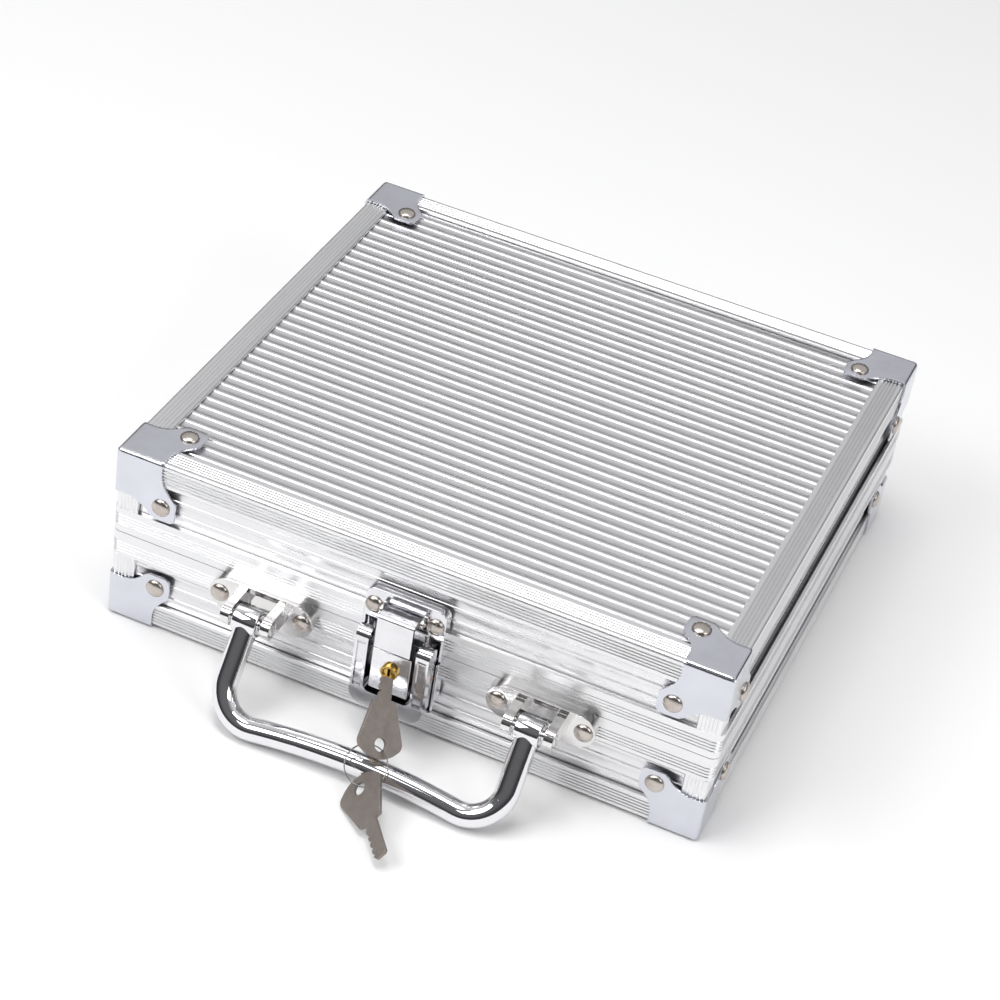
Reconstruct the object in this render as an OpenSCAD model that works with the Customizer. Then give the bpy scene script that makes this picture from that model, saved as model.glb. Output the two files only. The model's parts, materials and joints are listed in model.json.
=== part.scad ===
// Poker chip case: aluminium-skinned carry case with a hinged lid, keyed hasp lock and bail handle.
// X runs along the front, -Y is the handle side, Z is up; the case stands on z = 0.

/* [Case] */
// Width over the edge extrusions
case_w = 210; // [206:1:220]
// Depth over the edge extrusions
case_d = 200; // [196:1:206]
// Height of the top face
case_h = 67.2; // [66.4:0.2:70]
// Height where lid and base meet
parting_z = 34.5; // [34:0.1:35]
// Thickness of the aluminium extrusions
metal_t = 1.2; // [1:0.1:1.4]
// Thickness of the ribbed cover sheets
skin_t = 0.7; // [0.6:0.05:0.8]
// Thickness of the wooden boards
board_t = 3.5; // [3:0.1:3.8]

/* [Ribs] */
// Spacing of the raised ribs on the cover sheets
rib_pitch = 5; // [4.5:0.1:6]
// Width of one raised rib
rib_w = 2; // [1.6:0.1:2.4]
// Height of one raised rib
rib_h = 0.35; // [0.2:0.05:0.4]
// Spacing of the fine grooves on the extrusions
groove_pitch = 1.2; // [1.1:0.05:1.3]
// Depth of the fine grooves
groove_h = 0.25; // [0.15:0.05:0.35]

/* [Extrusions] */
// Flange width of the edge extrusions
edge_f = 9; // [8:0.2:10]
// Flange width of the corner posts
post_f = 8; // [7:0.2:9]
// Height of each rim band
rim_h = 9.5; // [8.5:0.1:10]
// How far the rim stands out past the edge extrusions at the sides
rim_out = 1; // [0.8:0.1:1.4]

/* [Corner guards] */
// Thickness of the corner guard sheet
guard_t = 0.8; // [0.6:0.1:1]
// Side of the square part of a guard
guard_a = 16.3; // [15:0.1:18]
// Reach of the riveted ear, measured from the corner
guard_ear = 22.3; // [20:0.1:24]
// Rivet head diameter
rivet_d = 6.4; // [5:0.1:7]
// Rivet head height
rivet_h = 1.6; // [1:0.1:2]

/* [Chip tray] */
// Radius of a chip trough
chip_r = 20.6; // [20:0.1:21]
// Length of a chip trough
chip_len = 86; // [84:1:88]
// Length of a card well
card_len = 92; // [90:1:94]
// Width of a card well
card_w = 66; // [64:1:68]
// Width of the dice trough
dice_w = 17; // [16.5:0.5:18]

/* [Handle] */
// Distance between the two legs
leg_gap = 98; // [94:1:102]
// Radius of the round bar
bar_r = 4; // [3.5:0.1:4.2]
// Reach of the grip from the pivot
grip_reach = 31.9; // [30:0.1:33]
// Radius of the corner bends
bend_r = 12; // [11:0.5:13]
// Angle by which the grip bows towards the pivots
bow_angle = 7.5; // [5:0.5:10]
// Angle of the legs below the horizontal when the grip lies on the table
droop = 53.2; // [53:0.1:54]

/* [Latch] */
// Width of the strike plate and the lock base
latch_w = 27.8; // [27:0.1:29]
// Width of the hasp
hasp_w = 12.4; // [11:0.1:13]
// Width of the lock box
lock_w = 13.5; // [13:0.1:14]
// Radius of the brass lock barrel
barrel_r = 2.9; // [2.5:0.1:3]

/* [Keys] */
// Thickness of a key
key_t = 1.2; // [1:0.1:1.4]
// Length of a key's bow
bow_len = 18.5; // [18:0.1:19]
// Half width of a key's bow
bow_w = 8.4; // [8:0.1:9]
// Half width of a key's blade
blade_w = 2.4; // [2:0.1:2.8]
// Mean radius of the split ring
ring_r = 6.8; // [6.6:0.1:7]

/* [Hidden] */
$fn = 48;
eps = 0.01;
foot = guard_t;                       // the case stands on the bottom corner guards
hx = case_w / 2;
hy = case_d / 2;
skin_x = hx - metal_t;                // outer face of the side sheets
skin_y = hy - metal_t;
core_x = skin_x - skin_t;             // outer face of the wooden box
core_y = skin_y - skin_t;
in_x = core_x - board_t;              // inner face of the wooden box
in_y = core_y - board_t;
seam = 0.1;                           // half the gap between the two rims
lip = 2;                              // height of the locating tongue
base_floor = foot + metal_t + skin_t + board_t;
lid_roof = case_h - metal_t - skin_t - board_t;
tray_top = 32;
pad_low = 52;
wall = 1.2;
pivot_y = -hy - 12.6;                 // handle pivot, level with the lock
pivot_z = 29.8;
bracket_z = 29;
bracket_t = 4;
lug_gap = 11;
lug_t = 3.2;
lug_r = 3.6;
pin_r = 1.5;
fit = 0.06;                           // radial running clearance on pins
hinge_y = hy + 3.2;
hinge_r = 2.1;
hinge_x = 58;
hinge_len = 40;
hinge_n = 5;
strike_t = 4;
bezel_w = 25.4;
bezel_front = -hy - 11.4;
bezel_back = -hy - 4.9;
hasp_z = 49;                          // hasp hinge axis
hasp_y = -hy - 6.2;
lock_front = -hy - 10.5;
steel = "#c9cbd2";
alu = "#d6d6da";

// Points of grooves cut into the line v = 0 at the listed places
function grooves_along(places, gw, slope, depth) = [for (g = places) each [
  [g - gw / 2, 0], [g - gw / 2 + slope, depth], [g + gw / 2 - slope, depth], [g + gw / 2, 0]]];

// Outline of a strip seen end on: outer face on v = 0, with grooves cut at the listed places
module strip(u0, u1, t, places, gw, slope, depth) {
  polygon(concat([[u0, t], [u0, 0]], grooves_along(places, gw, slope, depth), [[u1, 0], [u1, t]]));
}

// Fine grooves, a run of n at the groove pitch
function fine(start, n) = [for (i = [0:n - 1]) start + i * groove_pitch];

// Angle extrusion seen end on, corner at the origin, flanges along +u and +v
module angle_outline(f, start, n) {
  t = metal_t;
  side = concat(grooves_along(fine(start, n), groove_pitch / 2, 0.12, groove_h), [[f, 0], [f, t]]);
  last = len(side) - 1;
  other = [for (i = [last:-1:0]) [side[i][1], side[i][0]]];
  corner = [for (a = [180:15:270]) [t + t * cos(a), t + t * sin(a)]];
  polygon(concat(corner, side, [[t, t]], other));
}

// Ribbed sheet of length l and width w, outer face on z = 0, ribs along x
module ribbed_sheet(l, w) {
  n = floor((w - rib_pitch) / rib_pitch);
  lows = [for (i = [0:n]) (i - n / 2) * rib_pitch];
  rotate([-90, 0, 90]) linear_extrude(l, center = true)
    strip(-w / 2, w / 2, skin_t, lows, rib_pitch - rib_w, 0.5, rib_h);
}

module rounded_rect(x, y, r) {
  square([2 * x, 2 * (y - r)], center = true);
  square([2 * (x - r), 2 * y], center = true);
  for (sx = [-1, 1], sy = [-1, 1]) translate([sx * (x - r), sy * (y - r)]) circle(r);
}

module frame_outline(x, y, r, x2, y2, r2) {
  difference() {
    rounded_rect(x, y, r);
    rounded_rect(x2, y2, r2);
  }
}

// Places its children at a mirrored copy of the front-left-bottom corner
module at_corner(sx, sy, sz) {
  mirror([sx > 0 ? 1 : 0, 0, 0]) mirror([0, sy > 0 ? 1 : 0, 0])
    translate([0, 0, sz > 0 ? case_h + guard_t : 0]) mirror([0, 0, sz > 0 ? 1 : 0]) children();
}

// Low dome on z = 0 with a shank below it
module rivet(d, h, shank) {
  r = (d * d / 4 + h * h) / (2 * h);
  intersection() {
    translate([0, 0, h - r]) sphere(r);
    cylinder(h = h, r = d);
  }
  translate([0, 0, -shank]) cylinder(h = shank, r = d / 4);
}

// ---- wooden boxes -------------------------------------------------------------------------

module base_box() {
  color("#3a3a3c") difference() {
    translate([-core_x, -core_y, base_floor - board_t])
      cube([2 * core_x, 2 * core_y, parting_z - seam - metal_t - base_floor + board_t]);
    translate([-in_x, -in_y, base_floor]) cube([2 * in_x, 2 * in_y, case_h]);
  }
}

module lid_box() {
  low = parting_z + seam + metal_t;
  color("#3a3a3c") difference() {
    translate([-core_x, -core_y, low]) cube([2 * core_x, 2 * core_y, lid_roof + board_t - low]);
    translate([-in_x, -in_y, 0]) cube([2 * in_x, 2 * in_y, lid_roof]);
  }
}

// ---- ribbed cover sheets ------------------------------------------------------------------

module wall_sheet(side, low, high) {
  w = high - low;
  color(alu) translate([0, 0, (low + high) / 2])
    if (side == "front") translate([0, -skin_y, 0]) rotate([90, 0, 0]) ribbed_sheet(2 * core_x, w);
    else if (side == "back") translate([0, skin_y, 0]) rotate([-90, 0, 0]) ribbed_sheet(2 * core_x, w);
    else if (side == "left") translate([-skin_x, 0, 0]) rotate([90, 0, -90]) ribbed_sheet(2 * core_y, w);
    else translate([skin_x, 0, 0]) rotate([90, 0, 90]) ribbed_sheet(2 * core_y, w);
}

base_low = base_floor - board_t;
base_high = parting_z - seam - metal_t;
lid_low = parting_z + seam + metal_t;
lid_high = lid_roof + board_t;

module base_sheet_front() { wall_sheet("front", base_low, base_high); }
module base_sheet_back() { wall_sheet("back", base_low, base_high); }
module base_sheet_left() { wall_sheet("left", base_low, base_high); }
module base_sheet_right() { wall_sheet("right", base_low, base_high); }
module lid_sheet_front() { wall_sheet("front", lid_low, lid_high); }
module lid_sheet_back() { wall_sheet("back", lid_low, lid_high); }
module lid_sheet_left() { wall_sheet("left", lid_low, lid_high); }
module lid_sheet_right() { wall_sheet("right", lid_low, lid_high); }

module base_sheet_bottom() {
  color(alu) translate([0, 0, foot + metal_t]) rotate([180, 0, 0]) ribbed_sheet(2 * core_x, 2 * core_y);
}

module lid_sheet_top() {
  color(alu) translate([0, 0, case_h - metal_t]) ribbed_sheet(2 * core_x, 2 * core_y);
}

// ---- edge extrusions, corner posts and rims -----------------------------------------------

// Edge along X on the front; the groove run starts near the rounded corner
module front_edge() {
  translate([-hx, -hy, foot]) rotate([90, 0, 90]) linear_extrude(case_w) angle_outline(edge_f, 2.2, 5);
}

module left_edge() {
  len = case_d - 2 * edge_f;
  translate([-hx, len / 2, foot]) rotate([90, 0, 0]) linear_extrude(len) angle_outline(edge_f, 2.2, 5);
}

module to_lid() {
  translate([0, 0, case_h + foot]) mirror([0, 0, 1]) children();
}

module base_edge_front() { color(alu) front_edge(); }
module base_edge_back() { color(alu) mirror([0, 1, 0]) front_edge(); }
module base_edge_left() { color(alu) left_edge(); }
module base_edge_right() { color(alu) mirror([1, 0, 0]) left_edge(); }
module lid_edge_front() { color(alu) to_lid() front_edge(); }
module lid_edge_back() { color(alu) to_lid() mirror([0, 1, 0]) front_edge(); }
module lid_edge_left() { color(alu) to_lid() left_edge(); }
module lid_edge_right() { color(alu) to_lid() mirror([1, 0, 0]) left_edge(); }

module posts(low, high) {
  color(alu) for (sx = [-1, 1], sy = [-1, 1])
    mirror([sx > 0 ? 1 : 0, 0, 0]) mirror([0, sy > 0 ? 1 : 0, 0])
      translate([-hx, -hy, low]) linear_extrude(high - low) angle_outline(post_f, 2, 5);
}

module base_posts() { posts(foot + edge_f, parting_z - rim_h); }
module lid_posts() { posts(parting_z + rim_h, case_h - edge_f); }

// Outer band of a rim with a run of fine grooves, from z = low to z = high
module rim_band(low, high, first, n) {
  x = hx + rim_out;
  difference() {
    translate([0, 0, low]) linear_extrude(high - low)
      frame_outline(x, hy, 3, x - metal_t + 0.2, skin_y, 2);
    for (i = [0:n - 1]) translate([0, 0, first + i * groove_pitch - groove_pitch / 4])
      linear_extrude(groove_pitch / 2) frame_outline(x + 1, hy + 1, 3, x - groove_h, hy - groove_h, 2.8);
  }
}

module base_rim() {
  top = parting_z - seam;
  x = hx + rim_out;
  color(alu) {
    rim_band(parting_z - rim_h, top, parting_z - 7.8, 4);
    translate([0, 0, top - metal_t]) linear_extrude(metal_t)
      frame_outline(x - 0.5, hy - 0.5, 2.5, in_x - 1, in_y - 1, 2);
    translate([0, 0, parting_z - 8]) linear_extrude(8 - seam)
      frame_outline(in_x, in_y, 0.5, in_x - 1, in_y - 1, 0.5);
    translate([0, 0, top - eps]) linear_extrude(lip + eps)
      frame_outline(in_x - 0.2, in_y - 0.2, 0.5, in_x - 1, in_y - 1, 0.5);
  }
}

module lid_rim() {
  low = parting_z + seam;
  x = hx + rim_out;
  color(alu) {
    rim_band(low, parting_z + rim_h, parting_z + 3.1, 4);
    translate([0, 0, low]) linear_extrude(metal_t)
      frame_outline(x - 0.5, hy - 0.5, 2.5, in_x + 0.3, in_y + 0.3, 0.5);
  }
}

// ---- corner guards ------------------------------------------------------------------------

rivet_at = 17.3;                      // rivet distance from both guard edges

module guard_outline() {
  a = guard_a;
  e = guard_ear;
  difference() {
    polygon([[0, 0], [a, 0], [a, a / 2], [e - 1, a - 2.6], [e, e - 1.4], [e - 1.4, e],
             [a - 2.6, e - 1], [a / 2, a], [0, a]]);
    translate([rivet_at, rivet_at]) circle(rivet_d / 4 + fit);
  }
}

// Three-faced guard with its corner at the front, left and bottom
module guard() {
  translate([-hx - guard_t, -hy - guard_t, 0]) {
    linear_extrude(guard_t) guard_outline();
    translate([0, guard_t, 0]) rotate([90, 0, 0]) linear_extrude(guard_t) guard_outline();
    rotate([90, 0, 90]) linear_extrude(guard_t) guard_outline();
  }
}

// The rivets of one guard; the one below is flush on the base
module guard_rivets(flush) {
  reach = guard_t + metal_t;
  translate([-hx - guard_t, -hy - guard_t, 0]) {
    translate([rivet_at, 0, rivet_at]) rotate([90, 0, 0]) rivet(rivet_d, rivet_h, reach);
    translate([0, rivet_at, rivet_at]) rotate([0, -90, 0]) rivet(rivet_d, rivet_h, reach);
    translate([rivet_at, rivet_at, 0])
      if (flush) cylinder(h = reach, r = rivet_d / 4);
      else rotate([180, 0, 0]) rivet(rivet_d, rivet_h, reach);
  }
}

module base_guard_fl() { color(steel) at_corner(-1, -1, -1) guard(); }
module base_guard_fr() { color(steel) at_corner(1, -1, -1) guard(); }
module base_guard_bl() { color(steel) at_corner(-1, 1, -1) guard(); }
module base_guard_br() { color(steel) at_corner(1, 1, -1) guard(); }
module lid_guard_fl() { color(steel) at_corner(-1, -1, 1) guard(); }
module lid_guard_fr() { color(steel) at_corner(1, -1, 1) guard(); }
module lid_guard_bl() { color(steel) at_corner(-1, 1, 1) guard(); }
module lid_guard_br() { color(steel) at_corner(1, 1, 1) guard(); }

// The rivets of the base: those of its corner guards, and two through each handle bracket
module base_rivets() {
  color("#a89c94") {
    for (sx = [-1, 1], sy = [-1, 1]) at_corner(sx, sy, -1) guard_rivets(true);
    for (s = [-1, 1], t = [-1, 1])
      translate([s * leg_gap / 2 + t * 14.7, -hy - bracket_t, bracket_z]) rotate([90, 0, 0])
        rivet(rivet_d, 1.8, bracket_t);
  }
}

module lid_guard_rivets() {
  color("#a89c94") for (sx = [-1, 1], sy = [-1, 1]) at_corner(sx, sy, 1) guard_rivets(false);
}

// ---- inside -------------------------------------------------------------------------------

// The tray is built up from boards, blocks and ridges, all flocked: four chip troughs in front,
// then a dice trough, then two card wells
tray_x = in_x - 1.2;
tray_y = in_y - 1.2;
tray_step = 2 * tray_x / 4;
front_board = 4;
trough_y = -tray_y + front_board;     // front end of the chip troughs
dice_y = trough_y + chip_len + 4;
card_y = dice_y + dice_w + 4;
card_l = card_w - 4;                  // clear length of a card well from front to back
dice_half = 43;
flock = "#1d1e22";

// Boards across the full width, between the sections
module tray_boards() {
  spans = [[-tray_y, trough_y], [trough_y + chip_len, dice_y], [dice_y + dice_w, card_y],
    [card_y + card_l, tray_y]];
  color(flock) for (p = spans) translate([-tray_x, p[0], base_floor])
    cube([2 * tray_x, p[1] - p[0], tray_top - base_floor]);
}

// Ridges between the chip troughs, round on both flanks, and the two half ridges at the sides
module tray_ridges() {
  trough_z = base_floor + 1.5 + chip_r;
  color(flock) for (i = [0:4]) difference() {
    x = -tray_x + tray_step * i;
    translate([max(x - tray_step / 2, -tray_x), trough_y, base_floor])
      cube([i == 0 || i == 4 ? tray_step / 2 : tray_step, chip_len, tray_top - base_floor]);
    for (s = [-1, 1]) translate([x + s * tray_step / 2, trough_y - 1, 0]) {
      translate([0, 0, trough_z]) rotate([-90, 0, 0]) cylinder(h = chip_len + 2, r = chip_r);
      translate([-chip_r, 0, trough_z]) cube([2 * chip_r, chip_len + 2, 40]);
    }
  }
}

// Floors of the dice trough and of the card wells, and the blocks that close them at the sides
module tray_blocks() {
  color(flock) {
    translate([-dice_half, dice_y, base_floor]) cube([2 * dice_half, dice_w, 5]);
    translate([-tray_x, card_y, base_floor]) cube([2 * tray_x, card_l, 7]);
    for (s = [0, 1]) mirror([s, 0, 0]) translate([dice_half, dice_y, base_floor])
      cube([tray_x - dice_half, dice_w, tray_top - base_floor]);
    for (p = [[-tray_x, -card_len - 3], [-3, 3], [card_len + 3, tray_x]])
      translate([p[0], card_y, base_floor + 7]) cube([p[1] - p[0], card_l, tray_top - base_floor - 7]);
  }
}

module lid_pad() {
  color("#2a2b30") translate([-in_x + 0.4, -in_y + 0.4, pad_low])
    cube([2 * in_x - 0.8, 2 * in_y - 0.8, lid_roof - pad_low]);
}

// ---- rear hinges --------------------------------------------------------------------------

// Knuckles of one leaf along X; odd picks the second, fourth, ... of them
module knuckles(odd) {
  k = hinge_len / hinge_n;
  for (i = [0:hinge_n - 1]) if (i % 2 == (odd ? 1 : 0))
    translate([i * k + 0.1, hinge_y, parting_z]) rotate([0, 90, 0]) cylinder(h = k - 0.2, r = hinge_r);
}

module leaf(odd) {
  k = hinge_len / hinge_n;
  up = odd ? 1 : -1;
  difference() {
    union() {
      translate([0, hy, odd ? parting_z + 0.5 : parting_z - 9]) cube([hinge_len, 0.9, 8.5]);
      for (i = [0:hinge_n - 1]) if (i % 2 == (odd ? 1 : 0))
        translate([i * k + 0.1, hy + 0.2, odd ? parting_z + 0.5 : parting_z - hinge_r])
          cube([k - 0.2, hinge_y - hy - 0.2, hinge_r - 0.5]);
      knuckles(odd);
    }
    translate([-1, hinge_y, parting_z]) rotate([0, 90, 0]) cylinder(h = hinge_len + 2, r = 1.2 + fit);
    for (x = [8, hinge_len - 8]) translate([x, hy - 1, parting_z + up * 5.4]) rotate([-90, 0, 0])
      cylinder(h = 4, r = 1 + fit);
  }
}

module each_hinge() {
  for (s = [-1, 1]) translate([s * hinge_x - hinge_len / 2, 0, 0]) children();
}

module hinge_base_leaves() { color(steel) each_hinge() leaf(false); }
module hinge_lid_leaves() { color(steel) each_hinge() leaf(true); }

module hinge_pins() {
  color(steel) each_hinge() translate([0, hinge_y, parting_z]) rotate([0, 90, 0])
    cylinder(h = hinge_len, r = 1.2);
}

module hinge_rivets(up) {
  color("#a89c94") each_hinge() for (x = [8, hinge_len - 8])
    translate([x, hy + 0.9, parting_z + up * 5.4]) rotate([-90, 0, 0]) rivet(4, 0.9, 0.9);
}

module hinge_base_rivets() { hinge_rivets(-1); }
module hinge_lid_rivets() { hinge_rivets(1); }

// ---- handle -------------------------------------------------------------------------------

module stadium(l, h) {
  square([l - h, h], center = true);
  for (s = [-1, 1]) translate([s * (l - h) / 2, 0]) circle(h / 2);
}

// Cast bracket: stadium plate with a recess and two lugs that carry the pivot pin
module bracket() {
  lug_x = lug_gap / 2;
  reach = -hy - bracket_t - pivot_y;
  difference() {
    union() {
      translate([0, -hy, bracket_z]) rotate([90, 0, 0]) linear_extrude(bracket_t) stadium(37.2, 12.4);
      for (x = [-lug_x - lug_t, lug_x]) {
        translate([x, pivot_y, pivot_z - lug_r]) cube([lug_t, reach + 1, 2 * lug_r]);
        translate([x, pivot_y, pivot_z]) rotate([0, 90, 0]) cylinder(h = lug_t, r = lug_r);
      }
    }
    translate([-lug_x, -hy - bracket_t - 1, bracket_z - 4.2]) cube([lug_gap, 3.4, 8.4]);
    translate([-lug_x - lug_t - 1, pivot_y, pivot_z]) rotate([0, 90, 0])
      cylinder(h = lug_gap + 2 * lug_t + 2, r = pin_r + 0.02);
    for (s = [-1, 1]) translate([s * 14.7, -hy + 1, bracket_z]) rotate([90, 0, 0])
      cylinder(h = bracket_t + 2, r = rivet_d / 4 + fit);
  }
}

module bracket_left() { color("#d8d9dd") translate([-leg_gap / 2, 0, 0]) bracket(); }
module bracket_right() { color("#d8d9dd") translate([leg_gap / 2, 0, 0]) bracket(); }

// Pivot pins with a domed head at each end
module handle_pins() {
  half = lug_gap / 2 + lug_t;
  color("#b9a58c") for (s = [-1, 1]) translate([s * leg_gap / 2, pivot_y, pivot_z]) {
    rotate([0, 90, 0]) cylinder(h = 2 * half, r = pin_r, center = true);
    for (t = [-1, 1]) translate([t * half, 0, 0]) rotate([0, t * 90, 0]) rivet(4.4, 0.7, eps);
  }
}

// Grip arc seen in the plane of the handle; its centre lies beyond the grip
grip_r = (leg_gap / 2 - bend_r - bend_r * sin(bow_angle)) / sin(bow_angle);
bend_y = grip_reach - bend_r;
grip_centre = bend_y + (grip_r + bend_r) * cos(bow_angle);

// Bail in the XY plane, pivot axis on X, grip towards +Y; the bends are a hair thinner than
// the straight stretches, and reach a little way into them
module bail() {
  eye_r = 4.6;
  eye_w = 2 * bar_r + 0.6;
  lap = 0.3;
  thin = 0.12;
  difference() {
    union() {
      for (s = [-1, 1]) translate([s * leg_gap / 2, 0, 0]) {
        rotate([0, 90, 0]) cylinder(h = eye_w, r = eye_r, center = true);
        rotate([-90, 0, 0]) cylinder(h = bend_y, r = bar_r);
      }
      for (s = [0, 1]) mirror([s, 0, 0]) translate([leg_gap / 2 - bend_r, bend_y - lap, 0])
        rotate_extrude(angle = 90 + bow_angle) translate([bend_r, 0]) circle(bar_r - thin);
      translate([0, grip_centre, 0]) rotate([0, 0, -90 - bow_angle - lap])
        rotate_extrude(angle = 2 * (bow_angle + lap)) translate([grip_r, 0]) circle(bar_r);
    }
    rotate([0, 90, 0]) cylinder(h = leg_gap + 20, r = pin_r + fit, center = true);
  }
}

module handle() {
  color("#e2e3e6") translate([0, pivot_y, pivot_z]) rotate([180 + droop, 0, 0]) bail();
}

// ---- strike plate and hasp on the lid -----------------------------------------------------

module strike_plate() {
  low = parting_z + 0.3;
  high = 54.2;
  w = latch_w / 2;
  color("#dfe0e4") difference() {
    union() {
      translate([0, -hy, 0]) rotate([90, 0, 0]) linear_extrude(strike_t) {
        translate([-w, low]) square([2 * w, high - low - 3]);
        translate([-w + 3, low]) square([2 * w - 6, high - low]);
        for (s = [-1, 1]) translate([s * (w - 3), high - 3]) circle(3);
      }
      for (s = [-1, 1]) translate([s * (hasp_w / 2 + 0.8) - 0.5, hasp_y, hasp_z]) {
        rotate([0, 90, 0]) cylinder(h = 1, r = 1.6);
        translate([0, 0, -1.6]) cube([1, -hy - strike_t - hasp_y + 0.5, 3.2]);
      }
    }
    for (s = [-1, 1]) translate([s * 10.6, -hy + 1, 48]) rotate([90, 0, 0])
      cylinder(h = strike_t + 2, r = rivet_d / 4 + fit);
    translate([-latch_w, hasp_y, hasp_z]) rotate([0, 90, 0]) cylinder(h = 2 * latch_w, r = 0.72);
    for (s = [-1, 1]) translate([s * 10.3 - 2.6, -hy - strike_t - 1, low - 1]) cube([5.2, 2.6, 9]);
  }
}

module strike_rivets() {
  color("#a89c94") for (s = [-1, 1]) translate([s * 10.6, -hy - strike_t, 48]) rotate([90, 0, 0])
    rivet(6, 1.8, strike_t);
}

module hasp_pin() {
  color(steel) translate([0, hasp_y, hasp_z]) rotate([0, 90, 0])
    cylinder(h = hasp_w + 3.4, r = 0.7, center = true);
}

// Bent hasp plate: knuckle, short top and a flat front that covers the top of the lock box
module hasp() {
  front = -hy - 11.5;
  low = 38;
  color("#e4e4e8") difference() {
    union() {
      translate([-hasp_w / 2, hasp_y, hasp_z]) rotate([0, 90, 0]) cylinder(h = hasp_w, r = 1.4);
      translate([-hasp_w / 2, front + 1, hasp_z + 0.2]) cube([hasp_w, hasp_y - front - 1, 1.2]);
      translate([-hasp_w / 2, front, low]) cube([hasp_w, wall, hasp_z + 0.4 - low]);
      translate([-hasp_w / 2, front + 1, hasp_z + 0.4]) rotate([0, 90, 0])
        cylinder(h = hasp_w, r = 1);
    }
    translate([-hasp_w, hasp_y, hasp_z]) rotate([0, 90, 0]) cylinder(h = 2 * hasp_w, r = 0.7 + fit);
    for (s = [-1, 1]) translate([s * 2.6 - 0.9, hasp_y - 3, hasp_z + 0.9]) cube([1.8, 0.6, 1]);
  }
}

// ---- lock on the base ---------------------------------------------------------------------

module lock_base() {
  low = 13.4;
  high = parting_z - 0.3;
  w = latch_w / 2;
  color("#d3d4d9") difference() {
    translate([0, -hy, 0]) rotate([90, 0, 0]) linear_extrude(4.9) {
      translate([-w, low + 3]) square([2 * w, high - low - 3]);
      translate([-w + 3, low]) square([2 * w - 6, high - low]);
      for (s = [-1, 1]) translate([s * (w - 3), low + 3]) circle(3);
    }
    translate([-w + 1, -hy - 6, low + 1]) cube([2 * w - 2, 3.6, high]);
  }
}

// Thick U-shaped bezel round the lock box, its arms rounded over at the top
module lock_bezel() {
  w = bezel_w / 2;
  low = 12.8;
  depth = bezel_back - bezel_front;
  mid = (bezel_back + bezel_front) / 2;
  top = 42 - depth / 2;
  color("#dcdde1") {
    difference() {
      translate([0, bezel_back, 0]) rotate([90, 0, 0]) linear_extrude(depth) {
        translate([-w, low + 5]) square([2 * w, top - low - 5]);
        translate([-w + 5, low]) square([2 * w - 10, 6]);
        for (s = [-1, 1]) translate([s * (w - 5), low + 5]) circle(5);
      }
      translate([0, bezel_back + 1, 0]) rotate([90, 0, 0]) linear_extrude(depth + 2) {
        translate([-8.2, low + 8.6]) square([16.4, 60]);
        translate([-5.8, low + 6.2]) square([11.6, 8]);
        for (s = [-1, 1]) translate([s * 5.8, low + 8.6]) circle(2.4);
      }
      for (s = [-1, 1]) translate([s * 10.45 - 1.45, bezel_front - 1, low + 7]) cube([2.9, 1.8, 60]);
      translate([-w - 1, bezel_back - 1.6, 29.5]) rotate([0, 90, 0]) cylinder(h = 2 * w + 2, r = 0.9);
    }
    for (s = [-1, 1]) translate([s * 10.45 - 2.25, mid, top]) rotate([0, 90, 0])
      cylinder(h = 4.5, r = depth / 2);
  }
}

module bezel_pins() {
  color("#b77c4e") for (s = [-1, 1]) mirror([s > 0 ? 0 : 1, 0, 0])
    translate([8.6, bezel_back - 1.6, 29.5]) rotate([0, 90, 0]) cylinder(h = 4.3, r = 0.85);
}

// Hollow lock box with a round hole for the barrel
module lock_box() {
  back = -hy - 2.4;
  color("#e0e1e5") difference() {
    union() {
      translate([-lock_w / 2, lock_front, 20.6]) cube([lock_w, back - lock_front, parting_z - 20.9]);
      translate([-lock_w / 2, lock_front, 30]) cube([lock_w, 5.4, 6.6]);
    }
    translate([-lock_w / 2 + wall, lock_front + wall, 20.6 + wall])
      cube([lock_w - 2 * wall, 12, parting_z - 20.9 - 2 * wall]);
    translate([0, lock_front - 1, pivot_z]) rotate([-90, 0, 0]) cylinder(h = 4, r = barrel_r - 0.3);
  }
}

// Brass sleeve in the front of the lock box, open for the plug
module lock_barrel() {
  color("#c8952e") difference() {
    translate([0, lock_front, pivot_z]) rotate([90, 0, 0]) {
      cylinder(h = 1.5, r = barrel_r);
      translate([0, 0, -6]) cylinder(h = 6, r = barrel_r - 0.3);
    }
    translate([0, lock_front + 7, pivot_z]) rotate([90, 0, 0]) cylinder(h = 9, r = 1.8);
  }
}

// Turning plug with the key slot in its face and a cam behind
module lock_plug() {
  color("#d7a53c") difference() {
    translate([0, lock_front + 6.6, pivot_z]) rotate([90, 0, 0]) {
      cylinder(h = 7.6, r = 1.74);
      translate([-1.6, -1.6, -0.6]) cube([3.2, 4.4, 0.9]);
    }
    translate([-0.45, lock_front - 2, pivot_z - 1.5]) cube([0.9, 6, 3]);
  }
}

// ---- keys ---------------------------------------------------------------------------------

// Flat key in the XZ plane: tip at the top, bow below; blade is the length of the blade
module key(blade) {
  end = -blade - bow_len;
  notch = [for (i = [0:floor((blade - 3) / 2.6)]) each [
    [blade_w, -1.2 - i * 2.6], [blade_w - 0.8, -1.9 - i * 2.6], [blade_w, -2.6 - i * 2.6]]];
  corner = [for (a = [12:-12:-60]) [bow_w - 3 + 3 * cos(a), -blade - 13.2 + 3 * sin(a)]];
  tail = [for (a = [-57:-11:-90]) [10 * cos(a), end + 10 + 10 * sin(a)]];
  side = concat([[4.3, -blade]], corner, tail);
  last = len(side) - 1;
  other = [for (i = [last:-1:0]) [-side[i][0], side[i][1]]];
  rotate([90, 0, 0]) linear_extrude(key_t, center = true) difference() {
    polygon(concat([[1.6, 0]], notch, [[blade_w, -blade]], side, other,
      [[-blade_w, -blade], [-blade_w, -0.8], [-1.6, 0]]));
    translate([0, end + 4.6]) circle(2.15);
  }
}

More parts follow.
